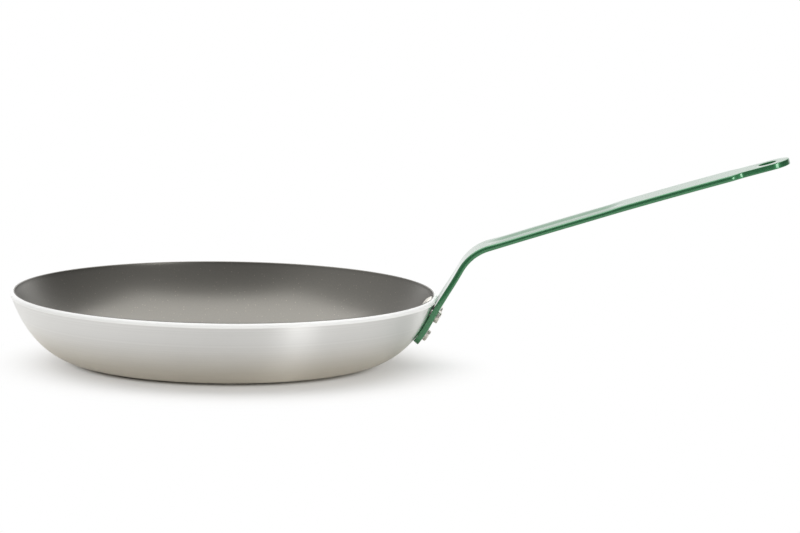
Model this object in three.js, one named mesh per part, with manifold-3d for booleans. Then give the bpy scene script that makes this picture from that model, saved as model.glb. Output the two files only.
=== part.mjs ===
// Frying pan with a riveted strap handle. Millimetres, +Z up, handle along +X,
// origin at the centre of the base's underside.
import * as THREE from "three";
import { mergeVertices } from "three/addons/utils/BufferGeometryUtils.js";
import Module from "manifold-3d";

const wasm = await Module();
wasm.setup();

// Pan body
const RIM_RADIUS = 140; // outermost radius, at the bead
const PAN_HEIGHT = 45.4; // base to the top of the bead
const BASE_RADIUS = 90; // flat part of the base
const WALL = 4; // thickness of the base
const RIM_WALL = 2.7; // thickness of the wall at the rim, which it thins to
const HEEL_SHARE = 0.558; // of the wall's reach, where its curve leaves the base's level
const RIM_PULL = 20.5; // how far the wall runs straight below the bead
const RIM_SLOPE = 70.5; // degrees from level, wall just below the bead
const BEAD_RADIUS = 2.3; // round on the outside of the rim
const LIP_RADIUS = 0.4; // round on the inside of the rim
const BEAD_LIP = 0.7; // bead stands this far out of the wall
const BEAD_DROP = 3; // bead's top down to the ledge beneath it

// Nonstick coating
const COAT = 0.2; // film, drawn thicker than life
const COAT_GAP = 0.1; // film to the metal under it

// Handle strap, measured along its middle line
const STRAP = 3.8; // thickness
const LEAVE_DROP = 14.4; // ledge to where the strap leaves the wall, down along the wall
const FOOT_LENGTH = 14.4; // from there to the strap's lower end, down along the wall
const GRIP_SLOPE = 18.3; // degrees from level, grip as it leaves the bend
const TIP_SLOPE = 15.9; // degrees from level, grip at its far end
const BEND_RADIUS = 31; // on the middle line
const ARM_LENGTH = 53.6; // from leaving the wall to the corner of the bend
const GRIP_LENGTH = 216.2; // corner of the bend to the tip
const FOOT_WIDTH = 38; // plate behind the rivets
const NECK_WIDTH = 33; // bend and grooved stretch
const GRIP_WIDTH = 30.5; // plain stretch behind the groove
const EYE_WIDTH = 24; // hanging end
const EYE_LENGTH = 31; // straight hanging end with its round tip
const EYE_SHOULDER = 9; // narrowing before the hanging end
const HOLE_RADIUS = 5.9; // hanging hole
const HOLE_SETBACK = 14.5; // its centre from the tip
const EDGE_ROUND = 1.3; // rounded edges of the grip
const EDGE_SHARP = 0.4; // broken edges at both ends
const FOOT_CORNER = 4; // round corners of the plate
const GROOVE_START = 9; // corner of the bend to the groove
const GROOVE_LENGTH = 98;
const GROOVE_WIDTH = 19;
const GROOVE_DEPTH = 1.2;
const GROOVE_RUNOUT = 16; // each end fades over this length
const LAND_FALL = 0.33; // share of the side's flat that the lands beside the groove fall

// Rivets
const RIVET_RISE = 6.8; // upper pair above the place where the strap leaves the wall
const RIVET_PITCH = 15.6; // upper pair to the lower one, along the strap
const RIVET_SPREAD = 24; // upper pair, across the strap
const SHANK_RADIUS = 3;
const OUTER_HEAD_RADIUS = 3.9;
const OUTER_HEAD_HEIGHT = 1.9;
const INNER_HEAD_RADIUS = 7.2;
const INNER_HEAD_HEIGHT = 3.2;
const HEAD_BEVEL = 0.5;
const RIVET_GAP = 0.3; // shank to its hole, heads to their seats and strap to the wall

const TURNS = 72; // facets around the pan
const WALL_STEPS = 9; // facets up the wall
const SECTOR = Math.PI / 6; // one facet of a small round

const radians = THREE.MathUtils.degToRad;
const point = (x, y) => new THREE.Vector2(x, y);

// Solids

function solidOf(geometry) {
  const bare = geometry.clone();
  bare.deleteAttribute("normal");
  bare.deleteAttribute("uv");
  const merged = mergeVertices(bare, 1e-4);
  const corners = merged.index.array;
  const kept = [];
  for (let i = 0; i < corners.length; i += 3) {
    const [a, b, c] = corners.slice(i, i + 3);
    if (a !== b && b !== c && c !== a) kept.push(a, b, c);
  }
  const vertProperties = new Float32Array(merged.attributes.position.array);
  return new wasm.Manifold(new wasm.Mesh({ numProp: 3, vertProperties, triVerts: new Uint32Array(kept) }));
}

function geometryOf(solid) {
  const mesh = solid.getMesh();
  const geometry = new THREE.BufferGeometry();
  geometry.setAttribute("position", new THREE.BufferAttribute(mesh.vertProperties, 3));
  geometry.setIndex(new THREE.BufferAttribute(mesh.triVerts, 1));
  geometry.computeVertexNormals();
  return geometry;
}

function drilled(geometry, tools) {
  return geometryOf(tools.reduce((solid, tool) => solid.subtract(solidOf(tool)), solidOf(geometry)));
}

// Turns a profile of (radius, height) points about Z.
function turned(profile, facets) {
  return new THREE.LatheGeometry(profile, facets).rotateX(Math.PI / 2);
}

function drill(radius, low, high) {
  return turned([point(0, low), point(radius, low), point(radius, high), point(0, high)], 24);
}

function arc(centre, radius, from, to) {
  const steps = Math.max(2, Math.ceil(Math.abs(to - from) / SECTOR));
  return Array.from({ length: steps + 1 }, (_, i) => {
    const angle = from + ((to - from) * i) / steps;
    return point(centre.x + radius * Math.cos(angle), centre.y + radius * Math.sin(angle));
  });
}

// Pan: the wall's outside is one curve from the flat base to the ledge under the bead

const bead = point(RIM_RADIUS - BEAD_RADIUS, PAN_HEIGHT - BEAD_RADIUS);
const ledge = point(RIM_RADIUS - BEAD_LIP, PAN_HEIGHT - BEAD_DROP);
const rimSlope = radians(RIM_SLOPE);
const wall = new THREE.CubicBezierCurve(
  point(BASE_RADIUS, 0),
  point(BASE_RADIUS + HEEL_SHARE * (ledge.x - BASE_RADIUS), 0),
  point(ledge.x - RIM_PULL * Math.cos(rimSlope), ledge.y - RIM_PULL * Math.sin(rimSlope)),
  ledge,
);

const lip = point(bead.x, PAN_HEIGHT - LIP_RADIUS);

// Inside of the pan, lifted off the metal: the floor's centre, the wall, then over the rim.
function inside(lift) {
  const points = [point(0, WALL + lift)];
  for (let i = 0; i <= WALL_STEPS; i += 1) {
    const share = i / WALL_STEPS;
    const on = wall.getPoint(share);
    const along = wall.getTangent(share);
    const depth = THREE.MathUtils.lerp(WALL, RIM_WALL, share) + lift;
    points.push(point(on.x - depth * along.y, on.y + depth * along.x));
  }
  return [...points, ...arc(lip, LIP_RADIUS + lift, Math.PI, Math.PI / 2)];
}

function panBody() {
  const under = Math.asin((ledge.y - bead.y) / BEAD_RADIUS);
  const rim = arc(bead, BEAD_RADIUS, under, Math.PI / 2);
  const outside = [point(0, 0), ...wall.getPoints(WALL_STEPS), ...rim];
  return turned([...outside, ...inside(0).slice(0, -1).reverse()], TURNS);
}

function coating() {
  const low = inside(COAT_GAP);
  const high = inside(COAT_GAP + COAT);
  return turned([...low, ...high.reverse()], TURNS);
}

// Everything outside the cooking space, for fitting the rivet heads to the coated wall.
function behindCoating() {
  const far = 2 * RIM_RADIUS;
  const space = inside(COAT_GAP + COAT + RIVET_GAP);
  const top = space.at(-1);
  const edge = [point(far, top.y), point(far, -WALL), point(0, -WALL)];
  return turned([...space, ...edge].reverse(), TURNS);
}

// Strap's middle line, in the plane of the handle: up the wall, straight, round the bend, along the grip

const wallLength = wall.getLength();

// Place and slope of the wall's outside at a distance down along it from the ledge.
function wallBelow(drop) {
  const share = 1 - drop / wallLength;
  return { at: wall.getPointAt(share), slope: wall.getTangentAt(share).angle() };
}

const { at: leave, slope: armSlope } = wallBelow(LEAVE_DROP);
const gripSlope = radians(GRIP_SLOPE);
const tipSlope = radians(TIP_SLOPE);
const beadStand = (bead.y - leave.y) * Math.cos(armSlope) - (bead.x - leave.x) * Math.sin(armSlope);
const strapGap = RIVET_GAP + Math.max(0, BEAD_RADIUS - beadStand);

class FootLine extends THREE.Curve {
  getPoint(t, target = new THREE.Vector2()) {
    const { at, slope } = wallBelow(LEAVE_DROP + (1 - t) * FOOT_LENGTH);
    const out = strapGap + STRAP / 2;
    return target.set(at.x + out * Math.sin(slope), at.y - out * Math.cos(slope));
  }
}

const bendTurn = armSlope - gripSlope;
const bendReach = BEND_RADIUS * Math.tan(bendTurn / 2);
const along = (from, slope, distance) =>
  point(from.x + distance * Math.cos(slope), from.y + distance * Math.sin(slope));

const foot = new FootLine();
const armFrom = foot.getPoint(1);
const bendFrom = along(armFrom, armSlope, ARM_LENGTH - bendReach);
const bendCentre = along(bendFrom, armSlope - Math.PI / 2, BEND_RADIUS);
const gripFrom = along(bendCentre, gripSlope + Math.PI / 2, BEND_RADIUS);
const gripRun = GRIP_LENGTH - bendReach;
const gripBow = along(gripFrom, gripSlope, gripRun / 2);
const middleLine = new THREE.CurvePath();
middleLine.add(foot);
middleLine.add(new THREE.LineCurve(armFrom, bendFrom));
middleLine.add(new THREE.EllipseCurve(bendCentre.x, bendCentre.y, BEND_RADIUS, BEND_RADIUS,
  armSlope + Math.PI / 2, gripSlope + Math.PI / 2, true));
middleLine.add(new THREE.QuadraticBezierCurve(gripFrom, gripBow, along(gripBow, tipSlope, gripRun / 2)));

const footLength = foot.getLength();
const bendStart = footLength + ARM_LENGTH - bendReach;
const bendEnd = bendStart + BEND_RADIUS * bendTurn;
const strapLength = middleLine.getLength();
const rivetHigh = footLength + RIVET_RISE;
const plateEnd = rivetHigh + OUTER_HEAD_RADIUS;
const grooveFrom = bendEnd - bendReach + GROOVE_START;
const grooveTo = grooveFrom + GROOVE_LENGTH;
const eyeFrom = strapLength - EYE_LENGTH;

// Place and slope of the middle line at a distance from the strap's lower end.
function strapAt(distance) {
  const at = middleLine.getPoint(distance / strapLength);
  const slope = middleLine.getTangent(distance / strapLength).angle();
  return { x: at.x, z: at.y, slope };
}

// Handle strap

const blend = (value, from, to, start, end) =>
  from + (to - from) * THREE.MathUtils.smoothstep(value, start, end);

// A round end of the strap takes this much off each side.
function cornerCut(toEnd, radius) {
  const inset = Math.max(0, radius - toEnd);
  return radius - Math.sqrt(Math.max(0, radius * radius - inset * inset));
}

function halfWidth(distance) {
  let width = blend(distance, FOOT_WIDTH, NECK_WIDTH, plateEnd, bendEnd);
  width = blend(distance, width, GRIP_WIDTH, grooveTo - 2 * GROOVE_RUNOUT, grooveTo);
  width = blend(distance, width, EYE_WIDTH, eyeFrom - EYE_SHOULDER, eyeFrom);
  return width / 2 - cornerCut(distance, FOOT_CORNER) - cornerCut(strapLength - distance, EYE_WIDTH / 2);
}

function edgeRound(distance) {
  const fromFoot = blend(distance, EDGE_SHARP, EDGE_ROUND, plateEnd, bendStart);
  return blend(distance, fromFoot, EDGE_SHARP, eyeFrom - EYE_SHOULDER, eyeFrom);
}

function grooveDepth(distance) {
  const opening = blend(distance, 0, GROOVE_DEPTH, grooveFrom, grooveFrom + GROOVE_RUNOUT);
  return opening * blend(distance, 1, 0, grooveTo - GROOVE_RUNOUT, grooveTo);
}

// The plate is pressed to the pan's round wall, and flattens out towards the bend.
function pressed(distance, across) {
  const wrapRadius = leave.x / Math.sin(armSlope);
  return blend(distance, 1, 0, plateEnd, bendStart) * (across * across) / (2 * wrapRadius);
}

// Cross-section at a distance: (across, up) from the middle line, anticlockwise.
function section(distance) {
  const half = halfWidth(distance);
  const round = Math.min(edgeRound(distance), half / 2);
  const side = half - round;
  const high = STRAP / 2 - round;
  const quarter = Math.PI / 2;
  const depth = grooveDepth(distance);
  const fall = LAND_FALL * 2 * high * (depth / GROOVE_DEPTH);
  const reach = Math.min(GROOVE_WIDTH / 2, side * 0.9);
  const steps = [-1, -0.5, 0, 0.5, 1];
  const groove = steps.map((step) => point(-step * reach, STRAP / 2 - depth * Math.cos(step * quarter) ** 2));
  const underside = steps.map((step) => point(step * reach, -STRAP / 2));
  const outline = [
    ...arc(point(side, -high), round, -quarter, 0),
    ...arc(point(side, high - fall), round, 0, quarter),
    ...groove,
    ...arc(point(-side, high - fall), round, quarter, 2 * quarter),
    ...arc(point(-side, -high), round, 2 * quarter, 3 * quarter),
    ...underside,
  ];
  return outline.map((on) => point(on.x, on.y + pressed(distance, on.x)));
}

function spread(from, to, steps) {
  return Array.from({ length: steps }, (_, i) => from + ((to - from) * i) / steps);
}

// Distances of the cross-sections: close together on the corners, bend, run-outs and tip.
function stations() {
  const tip = EYE_WIDTH / 2;
  const corner = arc(point(FOOT_CORNER, 0), FOOT_CORNER, Math.PI, Math.PI / 2).map((on) => on.x);
  const round = arc(point(strapLength - tip, 0), tip, Math.PI / 2, SECTOR / 4).map((on) => on.x);
  return [
    ...corner.slice(0, -1),
    ...spread(FOOT_CORNER, plateEnd, 4),
    ...spread(plateEnd, bendStart, 4),
    ...spread(bendStart, bendEnd, 7),
    ...spread(bendEnd, grooveFrom + GROOVE_RUNOUT, 4),
    ...spread(grooveFrom + GROOVE_RUNOUT, grooveTo - 2 * GROOVE_RUNOUT, 3),
    ...spread(grooveTo - 2 * GROOVE_RUNOUT, grooveTo, 8),
    ...spread(grooveTo, eyeFrom - EYE_SHOULDER, 2),
    ...spread(eyeFrom - EYE_SHOULDER, eyeFrom, 5),
    eyeFrom,
    ...round,
  ];
}

// Skins a row of cross-sections and closes both ends.
function strapBlank() {
  const places = [];
  const faces = [];
  const rows = stations();
  const place = (distance, across, up) => {
    const { x, z, slope } = strapAt(distance);
    places.push(x - up * Math.sin(slope), across, z + up * Math.cos(slope));
  };
  const count = section(0).length;
  for (const distance of rows) {
    for (const on of section(distance)) place(distance, on.x, on.y);
  }
  for (let row = 0; row + 1 < rows.length; row += 1) {
    for (let i = 0; i < count; i += 1) {
      const a = row * count + i;
      const b = row * count + ((i + 1) % count);
      faces.push(a, b, a + count, b, b + count, a + count);
    }
  }
  const last = (rows.length - 1) * count;
  place(rows[0], 0, 0);
  place(rows.at(-1), 0, 0);
  const [near, far] = [last + count, last + count + 1];
  for (let i = 0; i < count; i += 1) {
    const next = (i + 1) % count;
    faces.push(near, next, i, far, last + i, last + next);
  }
  const geometry = new THREE.BufferGeometry();
  geometry.setAttribute("position", new THREE.Float32BufferAttribute(places, 3));
  geometry.setIndex(faces);
  return geometry;
}

// Rivets: a flat head outside, a shank, and a low wide head shaped to the coated wall

// A rivet's frame sits on the strap's middle line, with z through the wall into the pan.
function rivetSeat(distance, across) {
  const { x, z, slope } = strapAt(distance);
  const swing = new THREE.Group();
  swing.rotation.z = Math.asin(across / x);
  const seat = new THREE.Group();
  seat.position.set(x, 0, z);
  seat.rotation.y = -slope;
  swing.add(seat);
  swing.updateMatrixWorld();
  return seat;
}

const rivetSeats = {
  rivet_near: rivetSeat(rivetHigh, -RIVET_SPREAD / 2),
  rivet_far: rivetSeat(rivetHigh, RIVET_SPREAD / 2),
  rivet_low: rivetSeat(rivetHigh - RIVET_PITCH, 0),
};
const rivetDepth = STRAP + strapGap + 3 * WALL;
const rivetHoles = Object.values(rivetSeats).map((seat) =>
  drill(SHANK_RADIUS + RIVET_GAP, -2 * STRAP, rivetDepth).applyMatrix4(seat.matrixWorld));

function handleStrap() {
  const eye = strapAt(strapLength - HOLE_SETBACK);
  const hole = drill(HOLE_RADIUS, -STRAP, STRAP).rotateY(-eye.slope).translate(eye.x, 0, eye.z);
  return drilled(strapBlank(), [...rivetHoles, hole]);
}

// Height of the coated wall in a rivet's frame, on the rivet's axis.
function coatedWallHeight(seat) {
  const profile = inside(COAT_GAP + COAT);
  const within = (height) => {
    const at = new THREE.Vector3(0, 0, height).applyMatrix4(seat.matrixWorld);
    const reach = Math.hypot(at.x, at.y);
    return profile.slice(1).some((high, i) => {
      const low = profile[i];
      if (at.z < low.y || at.z > high.y || low.y === high.y) return false;
      return reach < low.x + ((high.x - low.x) * (at.z - low.y)) / (high.y - low.y);
    });
  };
  let [low, high] = [0, rivetDepth];
  while (high - low > 1e-3) {
    const middle = (low + high) / 2;
    if (within(middle)) high = middle;
    else low = middle;
  }
  return high;
}

function rivet(seat) {
  const top = coatedWallHeight(seat) + RIVET_GAP + INNER_HEAD_HEIGHT;
  const under = -STRAP / 2 - RIVET_GAP;
  const base = under - OUTER_HEAD_HEIGHT;
  const dome = (INNER_HEAD_RADIUS ** 2 + INNER_HEAD_HEIGHT ** 2) / (2 * INNER_HEAD_HEIGHT);
  const rim = Math.asin(INNER_HEAD_RADIUS / dome);
  const cap = arc(point(0, top - dome), dome, Math.PI / 2 - rim, Math.PI / 2 - rim / 4);
  const headBlank = turned([point(0, 0), point(INNER_HEAD_RADIUS, 0), ...cap, point(0, top)], 24);
  const wallBlank = behindCoating().applyMatrix4(seat.matrixWorld.clone().invert());
  const shankTop = top - INNER_HEAD_HEIGHT / 2;
  const pin = [
    point(0, base),
    point(OUTER_HEAD_RADIUS - HEAD_BEVEL, base),
    point(OUTER_HEAD_RADIUS, base + HEAD_BEVEL),
    point(OUTER_HEAD_RADIUS, under),
    point(SHANK_RADIUS, under),
    point(SHANK_RADIUS, shankTop),
    point(0, shankTop),
  ];
  const head = solidOf(headBlank).subtract(solidOf(wallBlank));
  return geometryOf(head.add(solidOf(turned(pin, 24))));
}

// Scene

function piece(name, geometry, finish) {
  const mesh = new THREE.Mesh(geometry, new THREE.MeshStandardMaterial(finish));
  mesh.name = name;
  return mesh;
}

const aluminium = { color: 0xc4c3be, roughness: 0.32, metalness: 1 };
const nonstick = { color: 0x5d5b56, roughness: 0.45, metalness: 0 };
const greenEpoxy = { color: 0x2c6a45, roughness: 0.25, metalness: 0 };
const brightAluminium = { color: 0xd2d0ca, roughness: 0.3, metalness: 1 };

const group = new THREE.Group();
group.name = "frying_pan";
group.add(piece("pan_body", drilled(panBody(), rivetHoles), aluminium));
group.add(piece("nonstick_coating", drilled(coating(), rivetHoles), nonstick));
group.add(piece("handle_strap", handleStrap(), greenEpoxy));
for (const [name, seat] of Object.entries(rivetSeats)) {
  seat.add(piece(name, rivet(seat), brightAluminium));
  group.add(seat.parent);
}

export default group;
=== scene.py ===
"""Looks for a frying pan with a grey nonstick inside and a riveted green strap handle."""
import bisect
import math

import bmesh
import bpy
from mathutils import Matrix, Vector
from mathutils.geometry import interpolate_bezier


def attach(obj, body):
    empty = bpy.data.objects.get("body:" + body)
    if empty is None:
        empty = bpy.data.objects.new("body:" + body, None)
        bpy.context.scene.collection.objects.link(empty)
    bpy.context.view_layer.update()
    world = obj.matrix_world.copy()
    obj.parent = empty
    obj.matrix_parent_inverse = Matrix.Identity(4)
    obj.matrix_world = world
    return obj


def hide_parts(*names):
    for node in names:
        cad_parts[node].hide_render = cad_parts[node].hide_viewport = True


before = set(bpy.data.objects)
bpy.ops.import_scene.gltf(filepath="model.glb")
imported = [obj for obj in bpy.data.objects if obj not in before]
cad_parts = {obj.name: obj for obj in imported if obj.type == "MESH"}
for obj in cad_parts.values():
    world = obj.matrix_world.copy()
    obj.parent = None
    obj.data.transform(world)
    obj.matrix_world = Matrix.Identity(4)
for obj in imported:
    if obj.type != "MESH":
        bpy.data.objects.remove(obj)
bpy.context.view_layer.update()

MM = 0.001

# Pan, in millimetres as on the solids
RIM_RADIUS = 140.0
PAN_HEIGHT = 45.4
BASE_RADIUS = 90.0
WALL = 4.0
RIM_WALL = 2.7
HEEL_SHARE = 0.558
RIM_PULL = 20.5
RIM_SLOPE = math.radians(70.5)
BEAD_RADIUS = 2.3
LIP_RADIUS = 0.4
BEAD_LIP = 0.7
BEAD_DROP = 3.0
COAT = 0.2
COAT_GAP = 0.1

# Strap handle
STRAP = 3.8
LEAVE_DROP = 14.4
FOOT_LENGTH = 14.4
GRIP_SLOPE = math.radians(18.3)
TIP_SLOPE = math.radians(15.9)
BEND_RADIUS = 31.0
ARM_LENGTH = 53.6
GRIP_LENGTH = 216.2
FOOT_WIDTH = 38.0
NECK_WIDTH = 33.0
GRIP_WIDTH = 30.5
EYE_WIDTH = 24.0
EYE_LENGTH = 31.0
EYE_SHOULDER = 9.0
HOLE_RADIUS = 5.9
HOLE_SETBACK = 14.5
EDGE_ROUND = 1.3
EDGE_SHARP = 0.4
FOOT_CORNER = 4.0
GROOVE_START = 9.0
GROOVE_LENGTH = 98.0
GROOVE_WIDTH = 19.0
GROOVE_DEPTH = 1.2
GROOVE_RUNOUT = 16.0
LAND_FALL = 0.33

# Rivets
RIVET_RISE = 6.8
RIVET_PITCH = 15.6
RIVET_SPREAD = 24.0
SHANK_RADIUS = 3.0
OUTER_HEAD_RADIUS = 3.9
OUTER_HEAD_HEIGHT = 1.9
INNER_HEAD_RADIUS = 7.2
INNER_HEAD_HEIGHT = 3.2
HEAD_BEVEL = 0.5
RIVET_GAP = 0.3

# Fineness of the curves
INSIDE_STEPS = 48
OUTSIDE_STEPS = 56
MEASURE_STEPS = 400
FOOT_STEPS = 40
BEND_STEPS = 60
GRIP_STEPS = 60
ROUND_STEPS = 288

# Strap's flat grid: it stops short of the hole's middle, and its even rows fill a share of the width
STRAP_COLUMNS = 200
CORNER_COLUMNS = 8
STRAP_ROWS = 26
ROW_SHARE = 0.9
GRID_STOP = 9.0

# Points this near count as one, and edges this sharp as a crease or a fold
CLOSE = 1e-3
MERGE_GAP = 1e-4
CREASE = math.radians(40)
FOLD = math.radians(60)


# Curves

def arc(centre, radius, start, end, steps):
    """Points on an arc, with both of its ends."""
    angles = [start + (end - start) * i / steps for i in range(steps + 1)]
    return [Vector((centre[0] + radius * math.cos(a), centre[1] + radius * math.sin(a))) for a in angles]


def smooth(value, low, high):
    """Rises gently from 0 at low to 1 at high."""
    t = min(1.0, max(0.0, (value - low) / (high - low)))
    return t * t * (3 - 2 * t)


def blend(value, start, end, low, high):
    return start + (end - start) * smooth(value, low, high)


def ahead(point, slope, distance):
    """The point a distance further on, in a slope's direction."""
    return point + distance * Vector((math.cos(slope), math.sin(slope)))


class Path:
    """A line through close points, each with its slope, read by the distance along it."""

    def __init__(self, points, slopes):
        self.points = points
        self.slopes = slopes
        self.reach = [0.0]
        for a, b in zip(points, points[1:]):
            self.reach.append(self.reach[-1] + (b - a).length)

    @property
    def length(self):
        return self.reach[-1]

    def at(self, distance):
        i = min(max(bisect.bisect_right(self.reach, distance), 1), len(self.reach) - 1)
        share = (distance - self.reach[i - 1]) / (self.reach[i] - self.reach[i - 1])
        point = self.points[i - 1].lerp(self.points[i], share)
        slope = self.slopes[i - 1] + share * (self.slopes[i] - self.slopes[i - 1])
        return point, slope


def slopes_of(points):
    around = zip([points[0], *points[:-1]], [*points[1:], points[-1]])
    return [math.atan2(b.y - a.y, b.x - a.x) for a, b in around]


# Pan's outline: the wall's outside is one curve from the flat base to the ledge under the bead

bead = Vector((RIM_RADIUS - BEAD_RADIUS, PAN_HEIGHT - BEAD_RADIUS))
ledge = Vector((RIM_RADIUS - BEAD_LIP, PAN_HEIGHT - BEAD_DROP))
base_edge = Vector((BASE_RADIUS, 0.0))
heel = Vector((BASE_RADIUS + HEEL_SHARE * (ledge.x - BASE_RADIUS), 0.0))
below_rim = ahead(ledge, RIM_SLOPE, -RIM_PULL)


def wall_curve(steps):
    knots = [p.to_3d() for p in (base_edge, heel, below_rim, ledge)]
    points = [p.to_2d() for p in interpolate_bezier(*knots, steps + 1)]
    slopes = slopes_of(points)
    slopes[0] = 0.0
    slopes[-1] = RIM_SLOPE
    return Path(points, slopes)


def wall_inside(lift):
    """The wall's inside, lifted off the metal, then over the rim to its crest."""
    curve = wall_curve(INSIDE_STEPS)
    points = []
    for i, (point, slope) in enumerate(zip(curve.points, curve.slopes)):
        depth = WALL + (RIM_WALL - WALL) * i / INSIDE_STEPS + lift
        points.append(ahead(point, slope + math.pi / 2, depth))
    lip = (bead.x, PAN_HEIGHT - LIP_RADIUS)
    return points + arc(lip, LIP_RADIUS + lift, math.pi, math.pi / 2, steps=8)


# Strap's middle line: up the wall, straight, round the bend, along the grip

wall = wall_curve(MEASURE_STEPS)
leave, arm_slope = wall.at(wall.length - LEAVE_DROP)
bead_stand = (bead.y - leave.y) * math.cos(arm_slope) - (bead.x - leave.x) * math.sin(arm_slope)
strap_gap = RIVET_GAP + max(0.0, BEAD_RADIUS - bead_stand)
bend_turn = arm_slope - GRIP_SLOPE
bend_reach = BEND_RADIUS * math.tan(bend_turn / 2)


def foot_point(share):
    """The strap's middle on the wall, and its slope, at a share of the foot's length."""
    at, slope = wall.at(wall.length - LEAVE_DROP - (1 - share) * FOOT_LENGTH)
    return ahead(at, slope - math.pi / 2, strap_gap + STRAP / 2), slope


def middle_line():
    foot = [foot_point(i / FOOT_STEPS) for i in range(FOOT_STEPS + 1)]
    points = [p for p, _ in foot]
    slopes = [s for _, s in foot]
    bend_from = ahead(points[-1], arm_slope, ARM_LENGTH - bend_reach)
    bend_centre = ahead(bend_from, arm_slope - math.pi / 2, BEND_RADIUS)
    turn = [arm_slope - bend_turn * i / BEND_STEPS for i in range(BEND_STEPS + 1)]
    points += [ahead(bend_centre, slope + math.pi / 2, BEND_RADIUS) for slope in turn]
    slopes += turn
    grip_from = points[-1]
    grip_run = GRIP_LENGTH - bend_reach
    bow = ahead(grip_from, GRIP_SLOPE, grip_run / 2)
    tip = ahead(bow, TIP_SLOPE, grip_run / 2)
    for i in range(1, GRIP_STEPS + 1):
        t = i / GRIP_STEPS
        near = grip_from.lerp(bow, t)
        far = bow.lerp(tip, t)
        points.append(near.lerp(far, t))
        slopes.append(math.atan2(far.y - near.y, far.x - near.x))
    return Path(points, slopes)


line = middle_line()
foot_length = line.reach[FOOT_STEPS]
bend_start = line.reach[FOOT_STEPS + 1]
bend_end = line.reach[FOOT_STEPS + 1 + BEND_STEPS]
rivet_high = foot_length + RIVET_RISE
plate_end = rivet_high + OUTER_HEAD_RADIUS
groove_from = bend_end - bend_reach + GROOVE_START
groove_to = groove_from + GROOVE_LENGTH
eye_from = line.length - EYE_LENGTH
hole_at = line.length - HOLE_SETBACK
grid_end = hole_at - GRID_STOP


# Strap's width, edges and groove at a distance from its lower end

def corner_cut(to_end, radius):
    """How much a round corner takes off the side, near the strap's end."""
    inset = max(0.0, radius - to_end)
    return radius - math.sqrt(max(0.0, radius * radius - inset * inset))


def half_width(distance):
    width = blend(distance, FOOT_WIDTH, NECK_WIDTH, plate_end, bend_end)
    width = blend(distance, width, GRIP_WIDTH, groove_to - 2 * GROOVE_RUNOUT, groove_to)
    width = blend(distance, width, EYE_WIDTH, eye_from - EYE_SHOULDER, eye_from)
    return width / 2 - corner_cut(distance, FOOT_CORNER)


def edge_round(distance):
    from_foot = blend(distance, EDGE_SHARP, EDGE_ROUND, plate_end, bend_start)
    return blend(distance, from_foot, EDGE_SHARP, eye_from - EYE_SHOULDER, eye_from)


def groove_depth(distance):
    opening = blend(distance, 0, GROOVE_DEPTH, groove_from, groove_from + GROOVE_RUNOUT)
    return opening * blend(distance, 1, 0, groove_to - GROOVE_RUNOUT, groove_to)


def groove(distance, across):
    """Depth of the groove, or of the land that falls from it to the strap's edge."""
    depth = groove_depth(distance)
    share = abs(across) / (GROOVE_WIDTH / 2)
    if share < 1:
        return depth * math.cos(share * math.pi / 2) ** 2
    land = half_width(distance) - edge_round(distance) - GROOVE_WIDTH / 2
    fall = LAND_FALL * (STRAP - 2 * edge_round(distance)) * depth / GROOVE_DEPTH
    return fall * min(1.0, (abs(across) - GROOVE_WIDTH / 2) / land)


def pressed(distance, across):
    """The plate is pressed to the pan's round wall, and flattens out towards the bend."""
    wrap_radius = leave.x / math.sin(arm_slope)
    return blend(distance, 1, 0, plate_end, bend_start) * across * across / (2 * wrap_radius)


# Pieces

def turned(profile, steps):
    """Spins a profile of (radius, height) points about Z."""
    bm = bmesh.new()
    corners = [bm.verts.new((p[0], 0, p[1])) for p in profile]
    for pair in zip(corners, corners[1:]):
        bm.edges.new(pair)
    bmesh.ops.spin(bm, geom=bm.verts[:] + bm.edges[:], cent=(0, 0, 0), axis=(0, 0, 1), dvec=(0, 0, 0),
                   angle=2 * math.pi, steps=steps, use_merge=True, use_duplicate=False)
    bmesh.ops.remove_doubles(bm, verts=bm.verts, dist=MERGE_GAP)
    bmesh.ops.recalc_face_normals(bm, faces=bm.faces)
    return bm


def piece(bm, node, finish):
    """Makes a piece in metres that stands for a CAD node."""
    bmesh.ops.scale(bm, vec=(MM, MM, MM), verts=bm.verts)
    for face in bm.faces:
        face.smooth = True
    mesh = bpy.data.meshes.new(node)
    bm.to_mesh(mesh)
    bm.free()
    mesh.set_sharp_from_angle(angle=CREASE)
    mesh.materials.append(finish)
    made = bpy.data.objects.new("dressed_" + node, mesh)
    bpy.context.collection.objects.link(made)
    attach(made, "root")
    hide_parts(node)


def flat(rings, height):
    """The flat part of a profile, from the middle out to just short of the base's edge."""
    return [(BASE_RADIUS * i / rings, height) for i in range(rings)]


def pan_body():
    """Base, wall and bead, then down the inside. The crest is the bead's, so the inside leaves it out."""
    under_bead = math.asin((ledge.y - bead.y) / BEAD_RADIUS)
    rim = arc(bead, BEAD_RADIUS, under_bead, math.pi / 2, steps=16)
    outside = [*flat(6, 0), *wall_curve(OUTSIDE_STEPS).points, *rim]
    inside = [*flat(6, WALL), *wall_inside(0)[:-1]]
    return turned([*outside, *reversed(inside)], ROUND_STEPS)


def nonstick_film():
    low = flat(10, WALL + COAT_GAP) + wall_inside(COAT_GAP)
    high = flat(10, WALL + COAT_GAP + COAT) + wall_inside(COAT_GAP + COAT)
    return turned([*low, *reversed(high)], ROUND_STEPS)


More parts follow.
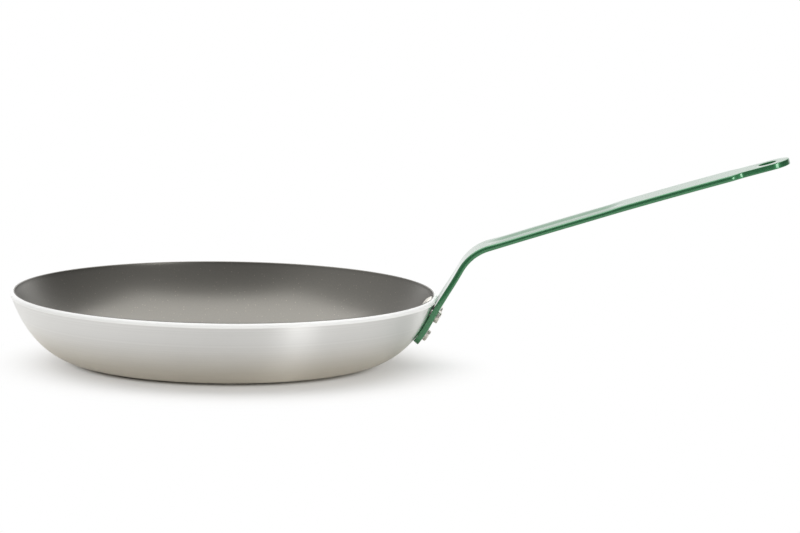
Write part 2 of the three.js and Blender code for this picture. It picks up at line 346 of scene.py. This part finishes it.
def strap_sheet():
    """The strap cut flat, up to the hanging end: x along its middle line, y across."""
    corner_turns = [i * math.pi / (2 * CORNER_COLUMNS) for i in range(CORNER_COLUMNS)]
    columns = [FOOT_CORNER * (1 - math.cos(turn)) for turn in corner_turns]
    run = grid_end - FOOT_CORNER
    columns += [FOOT_CORNER + run * i / STRAP_COLUMNS for i in range(STRAP_COLUMNS + 1)]
    rows = [-1, *(-ROW_SHARE + 2 * ROW_SHARE * i / STRAP_ROWS for i in range(STRAP_ROWS + 1)), 1]
    bm = bmesh.new()
    bmesh.ops.create_grid(bm, x_segments=len(columns) - 1, y_segments=len(rows) - 1, size=1)
    for corner in bm.verts:
        distance = columns[round((corner.co.x + 1) / 2 * (len(columns) - 1))]
        across = rows[round((corner.co.y + 1) / 2 * (len(rows) - 1))]
        corner.co = (distance, across * half_width(distance), 0)
    return bm


def add_hanging_end(bm):
    """Carries the flat strap's outline round the tip and pulls it in to the hole."""
    tip = EYE_WIDTH / 2
    start = max(corner.co.x for corner in bm.verts)
    column = sorted((c for c in bm.verts if c.co.x > start - CLOSE), key=lambda c: c.co.y)
    centre = line.length - tip
    side = [(start + (centre - start) * i / 6, tip) for i in range(1, 6)]
    outline = [*side, *arc((centre, 0), tip, math.pi / 2, -math.pi / 2, steps=44)]
    outline += [(x, -y) for x, y in reversed(side)]
    chain = [column[-1], *(bm.verts.new((x, y, 0)) for x, y in outline), column[0]]
    ring = [bm.edges.new(pair) for pair in zip(chain, chain[1:])]
    ring += [bm.edges.get(pair) for pair in zip(column, column[1:])]
    made = bmesh.ops.extrude_edge_only(bm, edges=ring)["geom"]
    hole = Vector((hole_at, 0, 0))
    for corner in made:
        if isinstance(corner, bmesh.types.BMVert):
            corner.co = hole + HOLE_RADIUS * (corner.co - hole).normalized()


def thicken(bm):
    """Gives the flat strap its thickness, about z = 0, and rounds its edges."""
    made = bmesh.ops.extrude_face_region(bm, geom=bm.faces[:])["geom"]
    top = [corner for corner in made if isinstance(corner, bmesh.types.BMVert)]
    bmesh.ops.translate(bm, verts=top, vec=(0, 0, STRAP))
    bmesh.ops.translate(bm, verts=bm.verts, vec=(0, 0, -STRAP / 2))
    bmesh.ops.recalc_face_normals(bm, faces=bm.faces)
    edges = [edge for edge in bm.edges if edge.calc_face_angle(0) > FOLD]
    bmesh.ops.bevel(bm, geom=edges, offset=EDGE_SHARP, offset_type="OFFSET", segments=5, profile=0.5,
                    affect="EDGES", material=-1, loop_slide=True)


def bend_strap(bm):
    """Widens the grip's round edges, presses the groove and the plate, and bends the strap to its line."""
    rounded = 1.2 * EDGE_SHARP
    for corner in bm.verts:
        distance, across, up = corner.co
        side = half_width(distance) - abs(across)
        depth = STRAP / 2 - abs(up)
        if side < rounded and depth < rounded and distance < grid_end:
            widen = edge_round(distance) / EDGE_SHARP - 1
            across -= math.copysign(side * widen, across)
            up -= math.copysign(depth * widen, up)
        if up > 0:
            up -= groove(distance, across)
        up += pressed(distance, across)
        point, slope = line.at(distance)
        corner.co = (point.x - up * math.sin(slope), across, point.y + up * math.cos(slope))


def handle_strap():
    bm = strap_sheet()
    add_hanging_end(bm)
    thicken(bm)
    bend_strap(bm)
    return bm


def rivet_seat(distance, across):
    """A rivet's frame on the strap's middle line, with z through the wall into the pan."""
    point, slope = line.at(distance)
    swing = Matrix.Rotation(math.asin(across / point.x), 4, "Z")
    return swing @ Matrix.Translation((point.x, 0, point.y)) @ Matrix.Rotation(-slope, 4, "Y")


def coated_wall_height(seat):
    """How far up its axis a rivet comes through the coated wall."""
    film = wall_inside(COAT_GAP + COAT)

    def in_wall(height):
        at = seat @ Vector((0, 0, height))
        above = next(i for i, p in enumerate(film) if p.y > at.z)
        low, high = film[above - 1], film[above]
        return math.hypot(at.x, at.y) > low.x + (high.x - low.x) * (at.z - low.y) / (high.y - low.y)

    low, high = 0.0, STRAP + strap_gap + 2 * WALL
    while high - low > CLOSE:
        middle = (low + high) / 2
        if in_wall(middle):
            low = middle
        else:
            high = middle
    return high


def rivet(seat):
    """Flat head outside, shank, and a low wide dome inside."""
    top = coated_wall_height(seat) + RIVET_GAP + INNER_HEAD_HEIGHT
    base = -STRAP / 2 - RIVET_GAP - OUTER_HEAD_HEIGHT
    head = arc((OUTER_HEAD_RADIUS - HEAD_BEVEL, base + HEAD_BEVEL), HEAD_BEVEL, -math.pi / 2, 0, steps=5)
    dome = (INNER_HEAD_RADIUS ** 2 + INNER_HEAD_HEIGHT ** 2) / (2 * INNER_HEAD_HEIGHT)
    rim = math.asin(INNER_HEAD_RADIUS / dome)
    cap = arc((0, top - dome), dome, math.pi / 2 - rim, math.pi / 2, steps=10)
    skirt = top - INNER_HEAD_HEIGHT - WALL / 2
    seat_ring = OUTER_HEAD_RADIUS, -STRAP / 2
    neck = [seat_ring, (SHANK_RADIUS, -STRAP / 2), (SHANK_RADIUS, skirt), (INNER_HEAD_RADIUS, skirt)]
    bm = turned([(0, base), *head, *neck, *cap], steps=48)
    bmesh.ops.transform(bm, matrix=seat, verts=bm.verts)
    return bm


# Finishes

class Value:
    """A socket of a finish. Arithmetic on it adds Math nodes."""

    def __init__(self, finish, socket):
        self.finish = finish
        self.socket = socket

    def maths(self, operation, *values):
        return self.finish.add("ShaderNodeMath", {"operation": operation}, dict(enumerate(values)))

    def at_least(self, other):
        return self.maths("MAXIMUM", self, other)

    def __add__(self, other):
        return self.maths("ADD", self, other)

    def __sub__(self, other):
        return self.maths("SUBTRACT", self, other)

    def __rsub__(self, other):
        return self.maths("SUBTRACT", other, self)

    def __mul__(self, other):
        return self.maths("MULTIPLY", self, other)

    def __pow__(self, other):
        return self.maths("POWER", self, other)

    __radd__ = __add__
    __rmul__ = __mul__


class Finish:
    """A node material or world, with one method that adds any node."""

    def __init__(self, owner):
        owner.use_nodes = True
        owner.node_tree.nodes.clear()
        self.owner = owner
        self.tree = owner.node_tree

    def add(self, kind, settings, sockets, out=0):
        node = self.tree.nodes.new(kind)
        for name, value in settings.items():
            setattr(node, name, value)
        for name, value in sockets.items():
            if isinstance(value, Value):
                self.tree.links.new(value.socket, node.inputs[name])
            else:
                node.inputs[name].default_value = value
        return Value(self, node.outputs[out]) if node.outputs else None

    def place(self):
        return self.add("ShaderNodeTexCoord", {}, {}, "Object")

    def part(self, vector, axis):
        return self.add("ShaderNodeSeparateXYZ", {}, {0: vector}, axis)

    def noise(self, vector, scale, detail=2.0, roughness=0.5):
        sockets = {"Vector": vector, "Scale": scale, "Detail": detail, "Roughness": roughness}
        return self.add("ShaderNodeTexNoise", {}, sockets)

    def noise_along(self, distance, scale, detail):
        return self.add("ShaderNodeTexNoise", {"noise_dimensions": "1D"},
                        {"W": distance, "Scale": scale, "Detail": detail})

    def step(self, value, low, high):
        """Rises gently from 0 at low to 1 at high, which may be the smaller of the two."""
        return self.add("ShaderNodeMapRange", {"interpolation_type": "SMOOTHSTEP"},
                        {0: value, 1: low, 2: high})

    def mix(self, share, first, second):
        return self.add("ShaderNodeMix", {"data_type": "RGBA"}, {0: share, 6: first, 7: second}, 2)

    def bump(self, height, distance, strength):
        return self.add("ShaderNodeBump", {}, {"Height": height, "Distance": distance, "Strength": strength})

    def shade(self, **sockets):
        named = {name.replace("_", " "): value for name, value in sockets.items()}
        shader = self.add("ShaderNodeBsdfPrincipled", {}, named)
        self.add("ShaderNodeOutputMaterial", {}, {"Surface": shader})
        return self.owner


def finish_named(name):
    return Finish(bpy.data.materials.new(name))


def turned_aluminium():
    """Satin metal with fine lathe lines round the pan; a warmer, darker tone low down is painted reflection
    of the shaded floor, and the bead is painted white as a painted reflection of the bright room.
    """
    finish = finish_named("turned_aluminium")
    place = finish.place()
    x, y, z = (finish.part(place, axis) for axis in "XYZ")
    # Radius and height together, so that the lathe lines cross the base and the wall alike
    along = (x * x + y * y) ** 0.5 + 1.3 * z
    fine = finish.noise_along(along, 2600.0, 1.0)
    broad = finish.noise_along(along, 420.0, 3.0)
    patch = finish.noise(place, 22.0)
    # The bead is painted near-white and not metallic: a painted reflection of the bright room in place of
    # polished metal
    on_bead = finish.step(z, (ledge.y - 0.2) * MM, (ledge.y + 0.4) * MM)
    satin = 0.36 + 0.06 * broad + 0.04 * patch
    # Painted reflection: the wall is warmer and darker low down, standing in for the shaded warm floor it
    # reflects, and this fades out up the wall
    painted_low_reflection_tone = finish.mix(broad, (0.76, 0.72, 0.64, 1), (0.80, 0.765, 0.69, 1))
    upper_metal_tone = finish.mix(broad, (0.80, 0.80, 0.792, 1), (0.87, 0.87, 0.862, 1))
    tone = finish.mix(finish.step(z, 4 * MM, 34 * MM), painted_low_reflection_tone, upper_metal_tone)
    return finish.shade(
        # Painted white bead, a painted reflection of the bright room
        Base_Color=finish.mix(on_bead, tone, (0.97, 0.97, 0.96, 1)),
        Metallic=1 - on_bead,
        Roughness=satin + on_bead * (0.28 - satin),
        Anisotropic=0.9,
        Anisotropic_Rotation=0.25,
        Normal=finish.bump(fine * (1 - on_bead), 0.02 * MM, 0.35),
    )


def speckled_nonstick():
    """Warm grey film with a fine grain and scattered pale flecks."""
    finish = finish_named("speckled_nonstick")
    place = finish.place()
    grain = finish.noise(place, 1500.0, 3.0, 0.6)
    cloud = finish.noise(place, 30.0, 2.0)
    cells = {"Vector": place, "Scale": 620.0}
    nearest = finish.add("ShaderNodeTexVoronoi", {}, cells, "Distance")
    chance = finish.part(finish.add("ShaderNodeTexVoronoi", {}, cells, "Color"), "X")
    fleck = (1 - finish.step(nearest, 0.08, 0.2)) * finish.step(chance, 0.72, 0.8)
    tone = finish.mix(grain, (0.184, 0.177, 0.158, 1), (0.243, 0.233, 0.209, 1))
    return finish.shade(
        Base_Color=finish.mix(fleck, tone, (0.44, 0.40, 0.33, 1)),
        Metallic=0.85,
        Roughness=0.29 + 0.08 * grain + 0.05 * cloud,
        Coat_Weight=0.35,
        Coat_Roughness=0.25,
        Normal=finish.bump(grain, 0.03 * MM, 0.5),
    )


def green_epoxy():
    """Glossy baked coat over steel, with a slight orange peel."""
    finish = finish_named("green_epoxy")
    place = finish.place()
    peel = finish.noise(place, 420.0, 1.0)
    cloud = finish.noise(place, 45.0, 2.0)
    return finish.shade(
        Base_Color=finish.mix(cloud, (0.040, 0.205, 0.082, 1), (0.048, 0.230, 0.094, 1)),
        Metallic=0.7,
        Roughness=0.32 + 0.06 * cloud,
        Coat_Weight=1.0,
        Coat_Roughness=0.03,
        Normal=finish.bump(peel, 0.01 * MM, 0.05),
    )


def rivet_aluminium():
    """Bright pressed metal with faint scuffs."""
    finish = finish_named("rivet_aluminium")
    place = finish.place()
    scuff = finish.noise(place, 900.0, 4.0, 0.65)
    cloud = finish.noise(place, 160.0, 2.0)
    return finish.shade(
        Base_Color=finish.mix(cloud, (0.74, 0.71, 0.64, 1), (0.82, 0.80, 0.75, 1)),
        Metallic=1.0,
        Roughness=0.34 + 0.06 * scuff,
        Normal=finish.bump(scuff, 0.01 * MM, 0.1),
    )


# Dressing the solids

piece(pan_body(), "pan_body", turned_aluminium())
piece(nonstick_film(), "nonstick_coating", speckled_nonstick())
piece(handle_strap(), "handle_strap", green_epoxy())
rivet_places = {
    "rivet_near": (rivet_high, -RIVET_SPREAD / 2),
    "rivet_far": (rivet_high, RIVET_SPREAD / 2),
    "rivet_low": (rivet_high - RIVET_PITCH, 0),
}
bright = rivet_aluminium()
for node, (distance, across) in rivet_places.items():
    piece(rivet(rivet_seat(distance, across)), node, bright)


# Floor, light and camera: places in metres, angles in radians, the lens in millimetres

FLOOR_RADIUS = 6.0
FLOOR_DROP = 0.0007
TABLE_EDGE = -0.62
LAMP_AIM = Vector((0.05, 0, 0.03))
LAMP_DISTANCE = 1.6
CAMERA_PLACE = Vector((0.21967, -2.99416, 0.49192))
CAMERA_TURN = math.radians(2)
CAMERA_TILT = 0.1418
CAMERA_ROLL = 0.0156
CAMERA_LENS = 208.11

# Where the floor runs out to white: the shadow's middle, ranges of distance, and the least lift in them. The
# lift is a painted white glow that lightens the pan's shadow, seen directly and in reflections, and it stops
# under the base
SHADOW_CENTRE = (0.01, -0.02)
SHADOW_RANGE = (0.092, 0.172)
CONTACT_RANGE = (0.106, 0.094)
MIRROR_RANGE = (0.4, 0.6)
SHADOW_LIFT = 0.3
MIRROR_LIFT = 0.1

# How bright the room is in reflections, then as soft light
ROOM_FRONT = 0.08
ROOM_HIGH = 0.2
ROOM_LEFT = 0.35
SOFT_LIGHT = 0.4
SOFT_FROM_FRONT = 0.22
SOFT_FROM_LEFT = 0.1


def seen_directly(finish):
    """1 where a camera, a mirror or a clear piece looks, 0 for soft light."""
    camera, glossy, clear = (finish.add("ShaderNodeLightPath", {}, {}, name)
                             for name in ("Is Camera Ray", "Is Glossy Ray", "Is Transmission Ray"))
    return camera.at_least(glossy.at_least(clear))


def white_floor():
    """Table top that keeps the pan's shadow, lightened near the pan by a painted white glow, and runs out to
    plain white.
    """
    finish = finish_named("white_floor")
    place = finish.place()
    x, y = (finish.part(place, axis) for axis in "XY")
    away = ((x - SHADOW_CENTRE[0]) ** 2 + (y - SHADOW_CENTRE[1]) ** 2) ** 0.5
    camera = finish.add("ShaderNodeLightPath", {}, {}, "Is Camera Ray")
    beside = 1 - finish.step((x * x + y * y) ** 0.5, *CONTACT_RANGE)
    # Painted white glow lightens the pan's shadow on the floor, seen directly and in the pan's reflections;
    # under the base it is left out
    shadow_glow_and_backdrop = SHADOW_LIFT * beside + (1 - SHADOW_LIFT) * finish.step(away, *SHADOW_RANGE)
    reflected_glow_and_backdrop = MIRROR_LIFT * beside + (1 - MIRROR_LIFT) * finish.step(away, *MIRROR_RANGE)
    plainness = (camera * shadow_glow_and_backdrop).at_least(seen_directly(finish) * reflected_glow_and_backdrop)
    paper = finish.add("ShaderNodeBsdfDiffuse", {}, {"Color": (0.93, 0.92, 0.895, 1)})
    plain = finish.add("ShaderNodeEmission", {}, {"Color": (1, 1, 1, 1), "Strength": 1.0})
    shade = finish.add("ShaderNodeMixShader", {}, {0: plainness, 1: paper, 2: plain})
    finish.add("ShaderNodeOutputMaterial", {}, {"Surface": shade})
    bm = bmesh.new()
    bmesh.ops.create_circle(bm, cap_ends=True, segments=96, radius=FLOOR_RADIUS)
    bmesh.ops.bisect_plane(bm, geom=bm.verts[:] + bm.edges[:] + bm.faces[:], plane_co=(0, TABLE_EDGE, 0),
                           plane_no=(0, -1, 0), clear_outer=True)
    bmesh.ops.translate(bm, verts=bm.verts, vec=(0, 0, -FLOOR_DROP))
    mesh = bpy.data.meshes.new("floor")
    bm.to_mesh(mesh)
    bm.free()
    mesh.materials.append(finish.owner)
    floor = bpy.data.objects.new("floor", mesh)
    bpy.context.collection.objects.link(floor)


def studio_world():
    """White behind the pan, dimmer in reflections of the camera's side, softer as light."""
    world = bpy.data.worlds.new("studio")
    bpy.context.scene.world = world
    finish = Finish(world)
    towards = finish.add("ShaderNodeTexCoord", {}, {}, "Generated")
    across, behind, above = (finish.part(towards, axis) for axis in "XYZ")
    camera = finish.add("ShaderNodeLightPath", {}, {}, "Is Camera Ray")
    left = finish.step(across, -0.2, -0.9)
    high = finish.step(above, 0.05, 0.6)
    dim = ROOM_FRONT + ROOM_LEFT * left + ROOM_HIGH * high
    backdrop = camera.at_least(finish.step(behind, 0.52, 0.86))
    level = dim + (1 - dim) * backdrop
    room = finish.add("ShaderNodeBackground", {}, {"Color": (1, 1, 1, 1), "Strength": level})
    soft = SOFT_LIGHT - SOFT_FROM_FRONT * behind - SOFT_FROM_LEFT * across
    light = finish.add("ShaderNodeBackground", {}, {"Color": (1, 1, 1, 1), "Strength": soft})
    mixed = finish.add("ShaderNodeMixShader", {}, {0: seen_directly(finish), 1: light, 2: room})
    finish.add("ShaderNodeOutputWorld", {}, {"Surface": mixed})


def softbox(name, azimuth, elevation, size, power):
    """Area lamp aimed at the pan. Azimuth 0 is the camera's side, 90 the handle's."""
    a, e = math.radians(azimuth), math.radians(elevation)
    away = Vector((math.sin(a) * math.cos(e), -math.cos(a) * math.cos(e), math.sin(e)))
    data = bpy.data.lights.new(name, "AREA")
    data.shape = "RECTANGLE"
    data.size, data.size_y = size
    data.energy = power
    lamp = bpy.data.objects.new(name, data)
    lamp.location = LAMP_AIM + LAMP_DISTANCE * away
    lamp.rotation_euler = (-away).to_track_quat("-Z", "Y").to_euler()
    bpy.context.collection.objects.link(lamp)


def photo_camera():
    """Long lens from far off, a little above the rim."""
    data = bpy.data.cameras.new("camera")
    data.lens = CAMERA_LENS
    data.sensor_width = 36
    data.clip_end = 30
    camera = bpy.data.objects.new("camera", data)
    turn = Matrix.Rotation(CAMERA_TURN, 4, "Z")
    tilt = Matrix.Rotation(math.pi / 2 - CAMERA_TILT, 4, "X")
    roll = Matrix.Rotation(CAMERA_ROLL, 4, "Z")
    camera.matrix_world = Matrix.Translation(CAMERA_PLACE) @ turn @ tilt @ roll
    bpy.context.collection.objects.link(camera)
    bpy.context.scene.camera = camera


white_floor()
studio_world()
softbox("overhead", azimuth=188, elevation=78, size=(2.7, 2.1), power=28.5)
softbox("low_front", azimuth=42, elevation=6.5, size=(0.4, 0.4), power=3.9)
photo_camera()
bpy.context.scene.view_settings.view_transform = "Standard"
